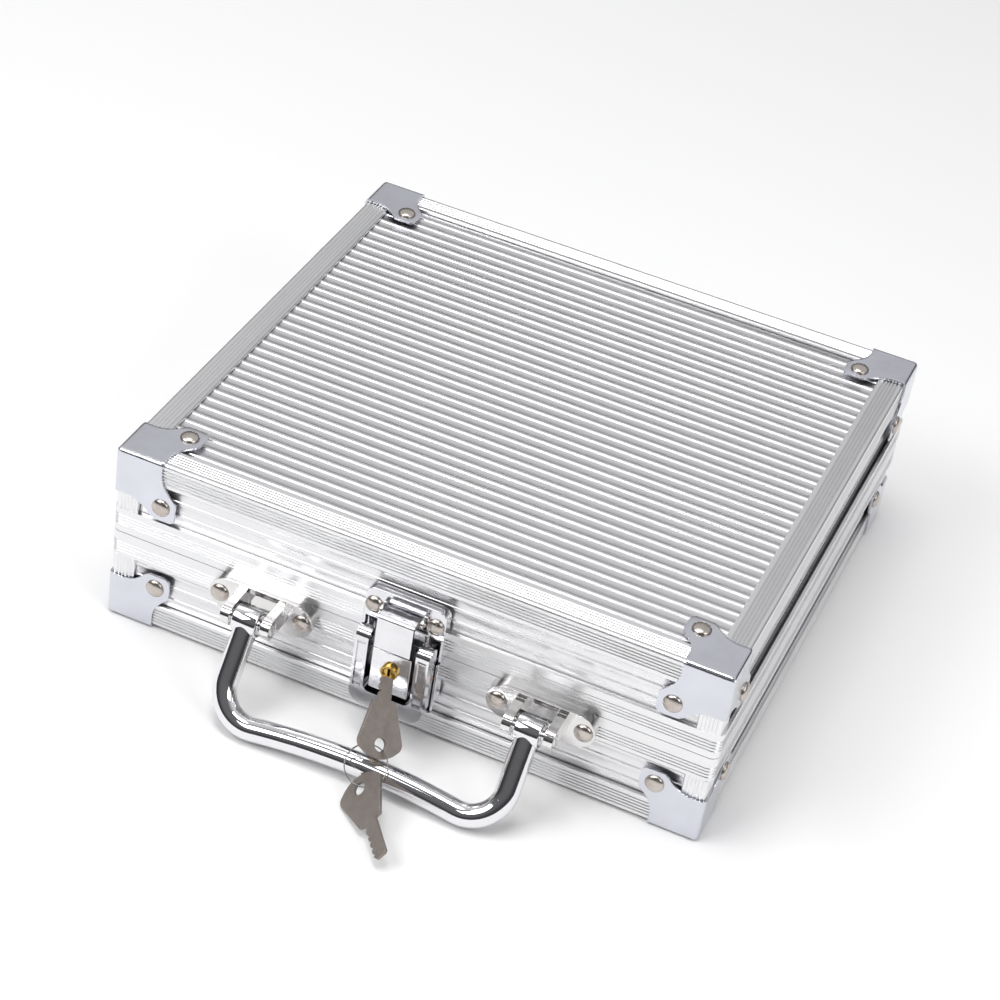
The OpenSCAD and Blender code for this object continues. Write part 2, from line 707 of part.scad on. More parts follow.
// Key that hangs from the keyway down to the grip
module key_leaning() {
  color("#8d827b") translate([0.14, -113.25, pivot_z - 0.33]) rotate([43.47, -23.93, -134.33]) key(7.5);
}

// Split ring through the holes of both keys, just clear of the grip
module key_ring() {
  color("#9a9088") translate([5.21, -134.41, 11.08]) rotate([37.87, 0, 12.8])
    rotate_extrude() translate([ring_r, 0]) circle(0.4, $fn = 24);
}

// Second key, lying on the table in front of the grip
module key_spare() {
  color("#867a72") translate([24.5, -162.69, 5.65]) rotate([-93.23, 48.75, -143.7]) key(14.5);
}

base_box();
base_sheet_front();
base_sheet_back();
base_sheet_left();
base_sheet_right();
base_sheet_bottom();
base_edge_front();
base_edge_back();
base_edge_left();
base_edge_right();
base_posts();
base_rim();
base_guard_fl();
base_guard_fr();
base_guard_bl();
base_guard_br();
base_rivets();
tray_boards();
tray_ridges();
tray_blocks();
hinge_base_leaves();
hinge_base_rivets();
hinge_pins();
bracket_left();
bracket_right();
handle_pins();
lock_base();
lock_bezel();
bezel_pins();
lock_box();
lock_barrel();
lock_plug();
handle();
key_leaning();
key_ring();
key_spare();
lid_box();
lid_sheet_front();
lid_sheet_back();
lid_sheet_left();
lid_sheet_right();
lid_sheet_top();
lid_edge_front();
lid_edge_back();
lid_edge_left();
lid_edge_right();
lid_posts();
lid_rim();
lid_guard_fl();
lid_guard_fr();
lid_guard_bl();
lid_guard_br();
lid_guard_rivets();
lid_pad();
hinge_lid_leaves();
hinge_lid_rivets();
strike_plate();
strike_rivets();
hasp_pin();
hasp();
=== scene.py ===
"""Poker chip case in ribbed aluminium, closed, with its bail handle on the table.

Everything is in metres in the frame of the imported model: X runs along the front, -Y points out of
the front, Z is up. Lengths written in millimetres are multiplied by MM.
"""
import json
import math

import bmesh
import bpy
import numpy as np
from mathutils import Matrix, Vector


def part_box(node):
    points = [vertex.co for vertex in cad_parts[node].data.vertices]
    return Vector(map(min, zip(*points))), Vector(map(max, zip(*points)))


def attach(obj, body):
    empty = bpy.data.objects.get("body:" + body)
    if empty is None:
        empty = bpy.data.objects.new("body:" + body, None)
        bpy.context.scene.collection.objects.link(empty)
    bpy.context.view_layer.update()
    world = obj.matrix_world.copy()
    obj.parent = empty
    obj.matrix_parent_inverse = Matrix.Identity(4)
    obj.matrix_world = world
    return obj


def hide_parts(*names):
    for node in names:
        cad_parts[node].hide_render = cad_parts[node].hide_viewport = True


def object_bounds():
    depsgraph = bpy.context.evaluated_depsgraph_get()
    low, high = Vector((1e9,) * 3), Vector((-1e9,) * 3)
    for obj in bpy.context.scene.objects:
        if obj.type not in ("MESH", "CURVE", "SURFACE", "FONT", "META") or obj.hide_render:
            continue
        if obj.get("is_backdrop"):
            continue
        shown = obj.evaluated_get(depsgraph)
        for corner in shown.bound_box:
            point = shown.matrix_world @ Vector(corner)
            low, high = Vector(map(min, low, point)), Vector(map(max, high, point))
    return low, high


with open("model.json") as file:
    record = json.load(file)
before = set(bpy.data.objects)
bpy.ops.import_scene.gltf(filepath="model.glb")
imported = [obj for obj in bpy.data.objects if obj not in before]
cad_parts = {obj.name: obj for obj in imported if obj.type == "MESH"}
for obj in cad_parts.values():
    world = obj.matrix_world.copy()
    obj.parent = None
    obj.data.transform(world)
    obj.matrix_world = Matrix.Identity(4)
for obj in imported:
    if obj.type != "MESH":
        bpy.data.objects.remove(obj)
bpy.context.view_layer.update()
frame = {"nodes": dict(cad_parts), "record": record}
nodes = frame["nodes"]

MM = 0.001
X, Y, Z = np.eye(3)
body_of_node = {
    node: body for body, listed in frame["record"]["behaviour"]["bodies"].items() for node in listed
}
slot_of_node = {
    part["node"]: part["material_slot"] for part in frame["record"]["subparts"]
}


def span(node):
    """Lowest and highest corner of a CAD node, in millimetres."""
    low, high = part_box(node)
    return np.array(low) / MM, np.array(high) / MM


# ---- camera ---------------------------------------------------------------------------------

def camera_axes(azimuth, elevation, roll):
    """Right, up and back of a camera: it stands at that bearing and height, then is rolled."""
    a, e, r = (math.radians(v) for v in (azimuth, elevation, roll))
    right = np.array([math.cos(a), math.sin(a), 0])
    back = np.array([math.sin(a) * math.cos(e), -math.cos(a) * math.cos(e), math.sin(e)])
    up = np.cross(back, right)
    turned = math.cos(r) * right + math.sin(r) * up
    return np.stack([turned, math.cos(r) * up - math.sin(r) * right, back], 1)


def add_camera(place, azimuth, elevation, roll, lens):
    data = bpy.data.cameras.new("camera")
    data.lens = lens
    data.sensor_width = 36
    data.clip_start = 0.01
    camera = bpy.data.objects.new("camera", data)
    bpy.context.collection.objects.link(camera)
    matrix = np.eye(4)
    matrix[:3, :3] = camera_axes(azimuth, elevation, roll)
    matrix[:3, 3] = place
    camera.matrix_world = Matrix(matrix.tolist())
    bpy.context.scene.camera = camera


add_camera((0.21739, -0.71759, 0.58387), 17.466, 36.726, 9.575, 97.15)


# ---- shared effects -------------------------------------------------------------------------

def new_group(name, inputs, outputs):
    """An empty node group with the listed sockets, and its two end nodes."""
    group = bpy.data.node_groups.new(name, "ShaderNodeTree")
    for label, kind, value in inputs:
        socket = group.interface.new_socket(label, in_out="INPUT", socket_type=kind)
        if value is not None:
            socket.default_value = value
    for label, kind in outputs:
        group.interface.new_socket(label, in_out="OUTPUT", socket_type=kind)
    return group, group.nodes.new("NodeGroupInput"), group.nodes.new("NodeGroupOutput")


def link(tree, source, target):
    tree.links.new(source, target)


def spread(tree, source, low, high, out_low, out_high):
    """Maps a value from low..high to out_low..out_high, kept inside."""
    node = tree.nodes.new("ShaderNodeMapRange")
    ends = {"From Min": low, "From Max": high, "To Min": out_low, "To Max": out_high}
    for socket, value in ends.items():
        node.inputs[socket].default_value = value
    link(tree, source, node.inputs["Value"])
    return node.outputs["Result"]


def noise(tree, vector, scale, detail=3.0, rough=0.55):
    node = tree.nodes.new("ShaderNodeTexNoise")
    node.inputs["Detail"].default_value = detail
    node.inputs["Roughness"].default_value = rough
    if isinstance(scale, (int, float)):
        node.inputs["Scale"].default_value = scale
    else:
        link(tree, scale, node.inputs["Scale"])
    link(tree, vector, node.inputs["Vector"])
    return node.outputs["Fac"]


def grain_group():
    """Fine streaks: noise stretched by a vector, sharpened to a mask."""
    group, start, end = new_group(
        "drawn_grain",
        [("Vector", "NodeSocketVector", None), ("Stretch", "NodeSocketVector", (1.0, 1.0, 1.0)),
         ("Fineness", "NodeSocketFloat", 900.0)],
        [("Mask", "NodeSocketFloat")])
    scaled = group.nodes.new("ShaderNodeVectorMath")
    scaled.operation = "MULTIPLY"
    link(group, start.outputs["Vector"], scaled.inputs[0])
    link(group, start.outputs["Stretch"], scaled.inputs[1])
    value = noise(group, scaled.outputs[0], start.outputs["Fineness"], 4.0, 0.6)
    link(group, spread(group, value, 0.3, 0.7, 0.0, 1.0), end.inputs["Mask"])
    return group


def handling_group():
    """Soft uneven patches from handling, with sparse fine scratches over them."""
    group, start, end = new_group(
        "handling", [("Vector", "NodeSocketVector", None), ("Patch", "NodeSocketFloat", 35.0)],
        [("Patches", "NodeSocketFloat"), ("Scratches", "NodeSocketFloat")])
    patch = noise(group, start.outputs["Vector"], start.outputs["Patch"], 3.0, 0.6)
    link(group, spread(group, patch, 0.35, 0.68, 0.0, 1.0), end.inputs["Patches"])
    turn = group.nodes.new("ShaderNodeMapping")
    turn.inputs["Rotation"].default_value = (0.5, 0.3, 0.7)
    turn.inputs["Scale"].default_value = (1.0, 22.0, 22.0)
    link(group, start.outputs["Vector"], turn.inputs["Vector"])
    hair = noise(group, turn.outputs["Vector"], 90.0, 1.0, 0.4)
    link(group, spread(group, hair, 0.70, 0.76, 0.0, 1.0), end.inputs["Scratches"])
    return group


def cells_group():
    """Open cells or short fibres: a height from voronoi cells and noise, and a soft noise mask for a random
    tone.
    """
    group, start, end = new_group(
        "cells", [("Vector", "NodeSocketVector", None), ("Fineness", "NodeSocketFloat", 1500.0)],
        [("Height", "NodeSocketFloat"), ("Shade", "NodeSocketFloat")])
    cell = group.nodes.new("ShaderNodeTexVoronoi")
    link(group, start.outputs["Vector"], cell.inputs["Vector"])
    link(group, start.outputs["Fineness"], cell.inputs["Scale"])
    fuzz = noise(group, start.outputs["Vector"], start.outputs["Fineness"], 5.0, 0.7)
    both = group.nodes.new("ShaderNodeMath")
    both.operation = "MULTIPLY_ADD"
    link(group, cell.outputs["Distance"], both.inputs[0])
    both.inputs[1].default_value = 0.7
    link(group, fuzz, both.inputs[2])
    link(group, both.outputs[0], end.inputs["Height"])
    soft = noise(group, start.outputs["Vector"], 60.0, 3.0, 0.6)
    link(group, spread(group, soft, 0.3, 0.7, 0.0, 1.0), end.inputs["Shade"])
    return group


GRAIN, HANDLING, CELLS = grain_group(), handling_group(), cells_group()


def use_group(tree, group, vector, **values):
    node = tree.nodes.new("ShaderNodeGroup")
    node.node_tree = group
    link(tree, vector, node.inputs["Vector"])
    for label, value in values.items():
        node.inputs[label].default_value = value
    return node


def blend_colours(tree, mask, first, second):
    node = tree.nodes.new("ShaderNodeMix")
    node.data_type = "RGBA"
    link(tree, mask, node.inputs[0])
    for socket, colour in ((node.inputs[6], first), (node.inputs[7], second)):
        if isinstance(colour, tuple):
            socket.default_value = (*colour, 1.0)
        else:
            link(tree, colour, socket)
    return node.outputs[2]


def blank(name):
    material = bpy.data.materials.new(name)
    material.use_nodes = True
    tree = material.node_tree
    where = tree.nodes.new("ShaderNodeTexCoord").outputs["Object"]
    return material, tree, tree.nodes["Principled BSDF"], where


def bump(tree, shader, height, strength, distance):
    node = tree.nodes.new("ShaderNodeBump")
    node.inputs["Strength"].default_value = strength
    node.inputs["Distance"].default_value = distance
    link(tree, height, node.inputs["Height"])
    link(tree, node.outputs["Normal"], shader.inputs["Normal"])


def metal(name, colour, worn, rough, stretch=(1.0, 1.0, 1.0), fineness=900.0, lift=0.04, depth=0.1,
          patch=35.0):
    """Metal with drawn grain, patches from handling and fine scratches.

    rough is the lowest and highest roughness; worn is the colour of the duller patches.
    """
    material, tree, shader, where = blank(name)
    grain = use_group(tree, GRAIN, where, Stretch=stretch, Fineness=fineness).outputs["Mask"]
    marks = use_group(tree, HANDLING, where, Patch=patch)
    tone = blend_colours(tree, marks.outputs["Patches"], colour, worn)
    darker = tuple(c * (1.0 - lift) for c in colour)
    if lift > 0.2:
        tone = blend_colours(tree, grain, tone, darker)
    link(tree, tone, shader.inputs["Base Color"])
    mix = tree.nodes.new("ShaderNodeMath")
    mix.operation = "MULTIPLY_ADD"
    link(tree, grain, mix.inputs[0])
    mix.inputs[1].default_value = 0.6
    both = tree.nodes.new("ShaderNodeMath")
    both.operation = "MULTIPLY_ADD"
    link(tree, marks.outputs["Patches"], both.inputs[0])
    both.inputs[1].default_value = 0.4
    link(tree, marks.outputs["Scratches"], both.inputs[2])
    link(tree, both.outputs[0], mix.inputs[2])
    link(tree, spread(tree, mix.outputs[0], 0.0, 1.2, rough[0], rough[1]), shader.inputs["Roughness"])
    shader.inputs["Metallic"].default_value = 1.0
    bump(tree, shader, mix.outputs[0], depth, 0.0002)
    return material


def soft(name, colour, paler_tone_and_highlight, fineness, depth, distance, rough=0.95, sheen=0.3):
    """Foam or flock: cells give the height; a soft noise mixes two close tones for the colour, and a
    painted highlight mixes the raised cell rims towards the paler one.
    """
    material, tree, shader, where = blank(name)
    cells = use_group(tree, CELLS, where, Fineness=fineness)
    tone = blend_colours(tree, cells.outputs["Shade"], colour, paler_tone_and_highlight)
    # painted highlight: where the cell height is raised, the colour is mixed towards the paler colour as if
    # the rims caught the light
    link(tree, blend_colours(tree, spread(tree, cells.outputs["Height"], 0.3, 1.1, 0.0, 0.6), tone, paler_tone_and_highlight),
         shader.inputs["Base Color"])
    dull = spread(tree, cells.outputs["Height"], 0.2, 1.2, rough - 0.1, rough)
    link(tree, dull, shader.inputs["Roughness"])
    shader.inputs["Sheen Weight"].default_value = sheen
    shader.inputs["Sheen Roughness"].default_value = 0.6
    bump(tree, shader, cells.outputs["Height"], depth, distance)
    return material


finishes = {
    "ribbed_sheet": metal("ribbed_sheet_satin", (0.84, 0.835, 0.845), (0.80, 0.795, 0.81), (0.24, 0.36),
                          (0.05, 1.0, 1.0), 1400.0, 0.05, 0.12),
    "extrusion": metal("extrusion_satin", (0.86, 0.86, 0.865), (0.82, 0.82, 0.83), (0.26, 0.38),
                       (0.06, 1.0, 1.0), 1600.0, 0.04, 0.1),
    "guard_steel": metal("guard_nickel", (0.70, 0.71, 0.77), (0.64, 0.65, 0.70), (0.12, 0.24),
                         (1.0, 1.0, 1.0), 1200.0, 0.03, 0.08, 60.0),
    "rivet_nickel": metal("rivet_nickel", (0.60, 0.55, 0.51), (0.50, 0.45, 0.41), (0.2, 0.34),
                          (1.0, 1.0, 1.0), 1500.0, 0.05, 0.12, 160.0),
    "hinge_steel": metal("hinge_nickel", (0.68, 0.68, 0.70), (0.58, 0.58, 0.60), (0.2, 0.36),
                         (0.1, 1.0, 1.0), 1200.0, 0.05, 0.1, 90.0),
    "bracket_chrome": metal("bracket_chrome", (0.80, 0.79, 0.78), (0.70, 0.69, 0.68), (0.06, 0.2),
                            (1.0, 1.0, 1.0), 500.0, 0.02, 0.12, 120.0),
    "bail_chrome": metal("bail_chrome", (0.84, 0.84, 0.86), (0.80, 0.80, 0.82), (0.03, 0.09),
                         (1.0, 1.0, 1.0), 300.0, 0.02, 0.04, 30.0),
    "latch_chrome": metal("latch_chrome", (0.82, 0.82, 0.84), (0.74, 0.74, 0.76), (0.05, 0.17),
                          (1.0, 1.0, 1.0), 600.0, 0.02, 0.08, 90.0),
    "lock_box_chrome": metal("lock_box_chrome", (0.86, 0.86, 0.88), (0.78, 0.78, 0.80), (0.1, 0.22),
                             (1.0, 1.0, 1.0), 700.0, 0.02, 0.1, 120.0),
    "brass": metal("brass_turned", (0.72, 0.48, 0.13), (0.55, 0.36, 0.10), (0.16, 0.3),
                   (1.0, 1.0, 1.0), 2500.0, 0.05, 0.1, 220.0),
    "copper": metal("copper_plate", (0.62, 0.36, 0.22), (0.48, 0.28, 0.18), (0.2, 0.34),
                    (1.0, 1.0, 1.0), 2500.0, 0.05, 0.1, 220.0),
    "key_nickel": metal("key_nickel", (0.40, 0.355, 0.325), (0.31, 0.275, 0.25), (0.34, 0.55),
                        (1.0, 1.0, 1.0), 3200.0, 0.3, 0.5, 260.0),
    "ring_steel": metal("ring_steel", (0.36, 0.34, 0.32), (0.27, 0.255, 0.24), (0.15, 0.3),
                        (1.0, 1.0, 1.0), 2500.0, 0.05, 0.1, 200.0),
    # the second colour of each soft finish is a paler random tone that also serves as the painted highlight
    # on raised cells
    "foam_tray": soft("flocked_tray", (0.008, 0.008, 0.010), (0.022, 0.022, 0.026), 2600.0, 0.5, 0.0003),
    "foam_pad": soft("egg_crate_foam", (0.030, 0.031, 0.034), (0.060, 0.061, 0.066), 1300.0, 0.6, 0.0005),
    "board": soft("lining_paper", (0.012, 0.012, 0.014), (0.026, 0.026, 0.029), 900.0, 0.25,
                  0.0002, 0.8, 0.1),
}


# ---- mesh helpers ---------------------------------------------------------------------------

def grid_faces(rows, columns, wrap_rows=False, wrap_columns=False, first=0):
    """Quads between neighbours of a rows by columns grid, joined end to end where it wraps."""
    r = np.arange(rows if wrap_rows else rows - 1)[:, None]
    c = np.arange(columns if wrap_columns else columns - 1)[None, :]
    r2, c2 = (r + 1) % rows, (c + 1) % columns
    quads = np.stack([r * columns + c, r2 * columns + c, r2 * columns + c2, r * columns + c2], -1)
    return first + quads.reshape(-1, 4)


def add_piece(name, vertices, faces, like, material=None, smooth=35.0, replaces=(), weld=0.0):
    """A closed mesh that rides with the CAD node `like`; vertices are in millimetres."""
    mesh = bpy.data.meshes.new(name)
    mesh.from_pydata((np.asarray(vertices) * MM).tolist(), [], [list(map(int, f)) for f in faces])
    work = bmesh.new()
    work.from_mesh(mesh)
    if weld:
        bmesh.ops.remove_doubles(work, verts=work.verts, dist=weld * MM)
    bmesh.ops.recalc_face_normals(work, faces=work.faces)
    work.to_mesh(mesh)
    work.free()
    mesh.shade_smooth()
    mesh.set_sharp_from_angle(angle=math.radians(smooth))
    piece = bpy.data.objects.new(name, mesh)
    bpy.context.collection.objects.link(piece)
    mesh.materials.append(material or finishes[slot_of_node[like]])
    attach(piece, body_of_node[like])
    if replaces:
        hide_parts(*replaces)
    return piece


def carried(profile, start, along, across, outward):
    """A closed profile carried along a straight line, with flat ends.

    Point = start + t * along + p0 * across + p1 * outward, for t = 0 and 1.
    """
    profile = np.asarray(profile, float)
    ring = profile[:, :1] * across + profile[:, 1:2] * outward
    points = np.stack([start + ring, start + along + ring])
    count = len(profile)
    faces = grid_faces(2, count, wrap_columns=True).tolist()
    faces += [list(range(count)), list(range(2 * count - 1, count - 1, -1))]
    return points.reshape(-1, 3), faces


def swept(path, tangents, side, radius, steps=28):
    """A round tube: point = path + radius * (cos a * side + sin a * (tangent x side))."""
    a = np.linspace(0, 2 * np.pi, steps, endpoint=False)
    third = np.cross(tangents, side)
    ring = np.cos(a)[None, :, None] * side[:, None] + np.sin(a)[None, :, None] * third[:, None]
    points = path[:, None] + np.asarray(radius).reshape(-1, 1, 1) * ring
    return points.reshape(-1, 3), grid_faces(len(path), steps, wrap_columns=True)


def turned(profile, centre, axis, steps=40):
    """A profile of (radius, height) turned about the axis through centre; ends on the axis close."""
    axis = np.asarray(axis, float)
    first = np.cross(axis, X if abs(axis[0]) < 0.9 else Y)
    first /= np.linalg.norm(first)
    second = np.cross(axis, first)
    a = np.linspace(0, 2 * np.pi, steps, endpoint=False)
    spoke = np.cos(a)[:, None] * first + np.sin(a)[:, None] * second
    profile = np.asarray(profile, float)
    points = centre + profile[:, 0, None, None] * spoke[None] + profile[:, 1, None, None] * axis
    return points.reshape(-1, 3), grid_faces(len(profile), steps, wrap_columns=True)


def joined(parts):
    """Several (points, faces) pairs as one."""
    points, faces, first = [], [], 0
    for p, f in parts:
        points.append(np.asarray(p))
        faces += [[int(i) + first for i in face] for face in f]
        first += len(p)
    return np.concatenate(points), faces


def softened(node, width, segments=2, angle=30.0):
    """A merged copy of a CAD node with its sharp edges rounded; it stands for the node."""
    work = bmesh.new()
    work.from_mesh(nodes[node].data)
    bmesh.ops.remove_doubles(work, verts=work.verts, dist=1e-6)
    bmesh.ops.dissolve_limit(work, angle_limit=math.radians(0.5), verts=work.verts, edges=work.edges)
    mesh = bpy.data.meshes.new(node + "_rounded")
    work.to_mesh(mesh)
    work.free()
    mesh.shade_smooth()
    mesh.set_sharp_from_angle(angle=math.radians(angle))
    piece = bpy.data.objects.new(node + "_rounded", mesh)
    bpy.context.collection.objects.link(piece)
    mesh.materials.clear()
    mesh.materials.append(finishes[slot_of_node[node]])
    rounding = piece.modifiers.new("rounding", "BEVEL")
    rounding.width = width * MM
    rounding.segments = segments
    rounding.limit_method = "ANGLE"
    rounding.angle_limit = math.radians(angle)
    rounding.harden_normals = True
    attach(piece, body_of_node[node])
    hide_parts(node)
    return piece


# ---- ribbed sheets and extrusions -----------------------------------------------------------

RIB_PITCH, RIB_HEIGHT, SHEET_T = 5.0, 0.35, 0.7


def rib_profile(width):
    """Outer line of a ribbed sheet: a rounded bead every pitch, flat between, closed below.

    Bead height = RIB_HEIGHT * (1 - smoothstep) of the distance from the bead's middle.
    """
    count = math.floor((width - RIB_PITCH) / RIB_PITCH)
    middles = (np.arange(-1, count + 1) - count / 2 + 0.5) * RIB_PITCH
    offsets = np.array([-1.05, -0.99, -0.92, -0.84, -0.75, -0.65, 0, 0.65, 0.75, 0.84, 0.92, 0.99, 1.05])
    u = (middles[:, None] + offsets[None]).ravel()
    u = u[(u > -width / 2 + 0.05) & (u < width / 2 - 0.05)]
    u = np.concatenate([[-width / 2], u, [width / 2]])
    gap = np.abs(u[:, None] - middles[None]).min(1)
    t = np.clip((gap - 0.65) / 0.4, 0, 1)
    height = -RIB_HEIGHT * t * t * (3 - 2 * t)
    line = np.stack([u, height], 1)
    return np.concatenate([line, [[width / 2, -SHEET_T], [-width / 2, -SHEET_T]]])


def ribbed_sheet(node):
    """The sheet of a CAD node, ribs along X on the front, back, top and bottom, else along Y."""
    low, high = span(node)
    size = high - low
    thin = int(np.argmin(size))
    sign = 1.0 if (low + high)[thin] / 2 > (33.0 if thin == 2 else 0.0) else -1.0
    run = 1 if thin == 0 else 0
    across = 3 - thin - run
    axes = np.eye(3)
    start = (low + high) / 2
    start[run] = low[run]
    start[thin] = high[thin] if sign > 0 else low[thin]
    points, faces = carried(rib_profile(size[across]), start, axes[run] * size[run], axes[across],
                            axes[thin] * sign)
    add_piece(node + "_ribbed", points, faces, node, smooth=50.0, replaces=(node,))


WALL, GROOVE_DEPTH, GROOVE_PITCH = 1.2, 0.25, 1.2


def flange_line(flange, start, count):
    """Outer line of one flange: v = depth * (1 + cos) / 2 near each groove, else 0."""
    places = start + np.arange(count) * GROOVE_PITCH
    offsets = np.linspace(-0.42, 0.42, 9)
    u = np.concatenate([(places[:, None] + offsets[None]).ravel(), [flange - 0.25]])
    gap = np.abs(u[:, None] - places[None]).min(1)
    v = GROOVE_DEPTH * 0.5 * (1 + np.cos(np.pi * np.clip(gap / 0.42, 0, 1)))
    return np.stack([u, v], 1)


def angle_profile(flange, start, count):
    """Outline of a grooved angle: round outer corner, flanges along both axes."""
    line = flange_line(flange, start, count)
    tip = np.array([[flange, 0.25], [flange, WALL], [WALL, WALL]])
    a = np.radians(np.arange(180, 271, 15))
    corner = WALL + WALL * np.stack([np.cos(a), np.sin(a)], 1)
    mirrored = np.concatenate([tip[1::-1, ::-1], line[::-1, ::-1]])
    return np.concatenate([corner, line, tip, mirrored])


def extrusion(start, along, first, second, flange=9.0, groove=2.2, count=5):
    return carried(angle_profile(flange, groove, count), start, along, first, second)


def edge_extrusions():
    """The eight edge extrusions and the two sets of corner posts."""
    for side, top in (("base", False), ("lid", True)):
        up = -Z if top else Z
        for node, sx, sy in ((side + "_edge_front", 0, -1), (side + "_edge_back", 0, 1),
                             (side + "_edge_left", -1, 0), (side + "_edge_right", 1, 0)):
            low, high = span(node)
            if sx == 0:
                start = np.array([low[0], low[1] if sy < 0 else high[1], high[2] if top else low[2]])
                along, inward = X * (high[0] - low[0]), -Y * sy
            else:
                start = np.array([low[0] if sx < 0 else high[0], low[1], high[2] if top else low[2]])
                along, inward = Y * (high[1] - low[1]), -X * sx
            points, faces = extrusion(start, along, inward, up)
            add_piece(node + "_drawn", points, faces, node, smooth=40.0, replaces=(node,))
        node = side + "_posts"
        low, high = span(node)
        parts = []
        for sx in (-1, 1):
            for sy in (-1, 1):
                start = np.array([low[0] if sx < 0 else high[0], low[1] if sy < 0 else high[1], low[2]])
                parts.append(extrusion(start, Z * (high[2] - low[2]), -X * sx, -Y * sy, 8.0, 2.0))
        points, faces = joined(parts)
        add_piece(node + "_drawn", points, faces, node, smooth=40.0, replaces=(node,))


for part in ("base", "lid"):
    for side in ("front", "back", "left", "right", "bottom" if part == "base" else "top"):
        ribbed_sheet(f"{part}_sheet_{side}")
edge_extrusions()


# ---- corner guards --------------------------------------------------------------------------

GUARD_OUTLINE = np.array([
    (17.0, 0.0), (16.8, 3.0), (16.8, 5.6), (17.3, 7.8), (18.2, 9.8), (19.6, 11.6), (21.4, 13.4),
    (22.3, 14.6), (22.3, 20.6), (21.9, 21.7), (20.9, 22.3), (14.6, 22.3)])


PIERCED = 1.1          # radius left open at the corner point
SEAM = 0.22            # half gap between the top and the front face
FOLD = 1.7             # outer radius of the folds
GUARD_T = 0.75


def guard_patch(seam):
    """One face of a guard on a fan of rays from the corner out to the outline.

    The fan starts a little way out, which leaves the pierced corner, and stops short of the
    first fold by the width of the seam.
    """
    outline = np.concatenate([GUARD_OUTLINE, GUARD_OUTLINE[::-1, ::-1][1:]])
    angle = np.arctan2(outline[:, 1], outline[:, 0])
    keep = np.concatenate([[True], np.diff(angle) > 1e-6])
    angle, outline = angle[keep], outline[keep]
    fine = np.union1d(np.linspace(0, np.pi / 2, 46), angle)
    xs = np.interp(fine, angle, outline[:, 0])
    ys = np.interp(fine, angle, outline[:, 1])
    t = np.concatenate([[0.0], np.linspace(0.03, 0.25, 8), np.linspace(0.32, 1, 10)])
    radius = PIERCED + t[:, None] * (np.hypot(xs, ys)[None] - PIERCED)
    u, v = radius * np.cos(fine), radius * np.sin(fine)
    if seam:
        v = np.maximum(v, seam)
    return u, v


def rounded(points, r):
    """Points on a sharp box corner at the origin moved onto one rounded with radius r.

    The point nearest in the box inset by r is found, then the point is put at r from it.
    """
    core = np.maximum(points, r)
    gap = points - core
    length = np.linalg.norm(gap, axis=-1, keepdims=True)
    return np.where(length > 1e-9, core + gap * r / np.maximum(length, 1e-9), points)


def corner_guard(node, sx, sy, sz, seamed):
    """Three fans meeting at the folds; the seam lies between the top and the front face."""
    low, high = span(node)
    corner = np.where(np.array([sx, sy, sz]) > 0, high, low)
    inward = -np.array([sx, sy, sz], float)
    parts = []
    for flat, (first, second) in ((2, (0, 1)), (1, (0, 2)), (0, (1, 2))):
        u, v = guard_patch(SEAM if seamed and flat in (1, 2) else 0.0)
        points = np.zeros(u.shape + (3,))
        points[..., first], points[..., second] = u, v
        points = rounded(points.reshape(-1, 3), FOLD)
        parts.append((corner + points * inward, grid_faces(*u.shape)))
    points, faces = joined(parts)
    piece = add_piece(node + "_pressed", points, faces, node, smooth=60.0, replaces=(node,), weld=0.02)
    mesh = piece.data
    outward = sum(float(np.dot(np.array(f.normal), np.array(f.center) / MM - corner - inward * 12.0)) *
                  f.area for f in mesh.polygons)
    if outward < 0:
        mesh.flip_normals()
    wall = piece.modifiers.new("wall", "SOLIDIFY")
    wall.thickness = GUARD_T * MM
    wall.offset = -1
    edge = piece.modifiers.new("edge", "BEVEL")
    edge.width = 0.14 * MM
    edge.segments = 2
    edge.limit_method = "ANGLE"
    edge.angle_limit = math.radians(50)


CORNERS = {"fl": (-1, -1), "fr": (1, -1), "bl": (-1, 1), "br": (1, 1)}
for part, sz in (("base", -1), ("lid", 1)):
    for label, (sx, sy) in CORNERS.items():
        corner_guard(f"{part}_guard_{label}", sx, sy, sz, part == "lid" or sy < 0)


# ---- rivets ---------------------------------------------------------------------------------

def head_profile(radius, height):
    """A domed head on a short upright rim.

    radius * sin(t) out and height * (0.14 + 0.86 * cos(t) ** 1.1) up, for t from 0 to a quarter turn.
    """
    t = np.linspace(0, 1, 12)
    a = t * np.pi / 2
    dome = np.stack([radius * np.sin(a), height * (0.14 + 0.86 * np.cos(a) ** 1.1)], 1)
    return np.concatenate([dome, [[radius, 0.06], [radius - 0.05, 0.0], [0.0, 0.0]]])


def rivet_heads(node, places, radius, height):
    """All the heads of one CAD node of rivets; places are (centre, axis) pairs."""
    profile = head_profile(radius, height)
    points, faces = joined([turned(profile, np.asarray(c, float), a, 32) for c, a in places])
    add_piece(node + "_heads", points, faces, node, smooth=50.0, replaces=(node,), weld=0.005)


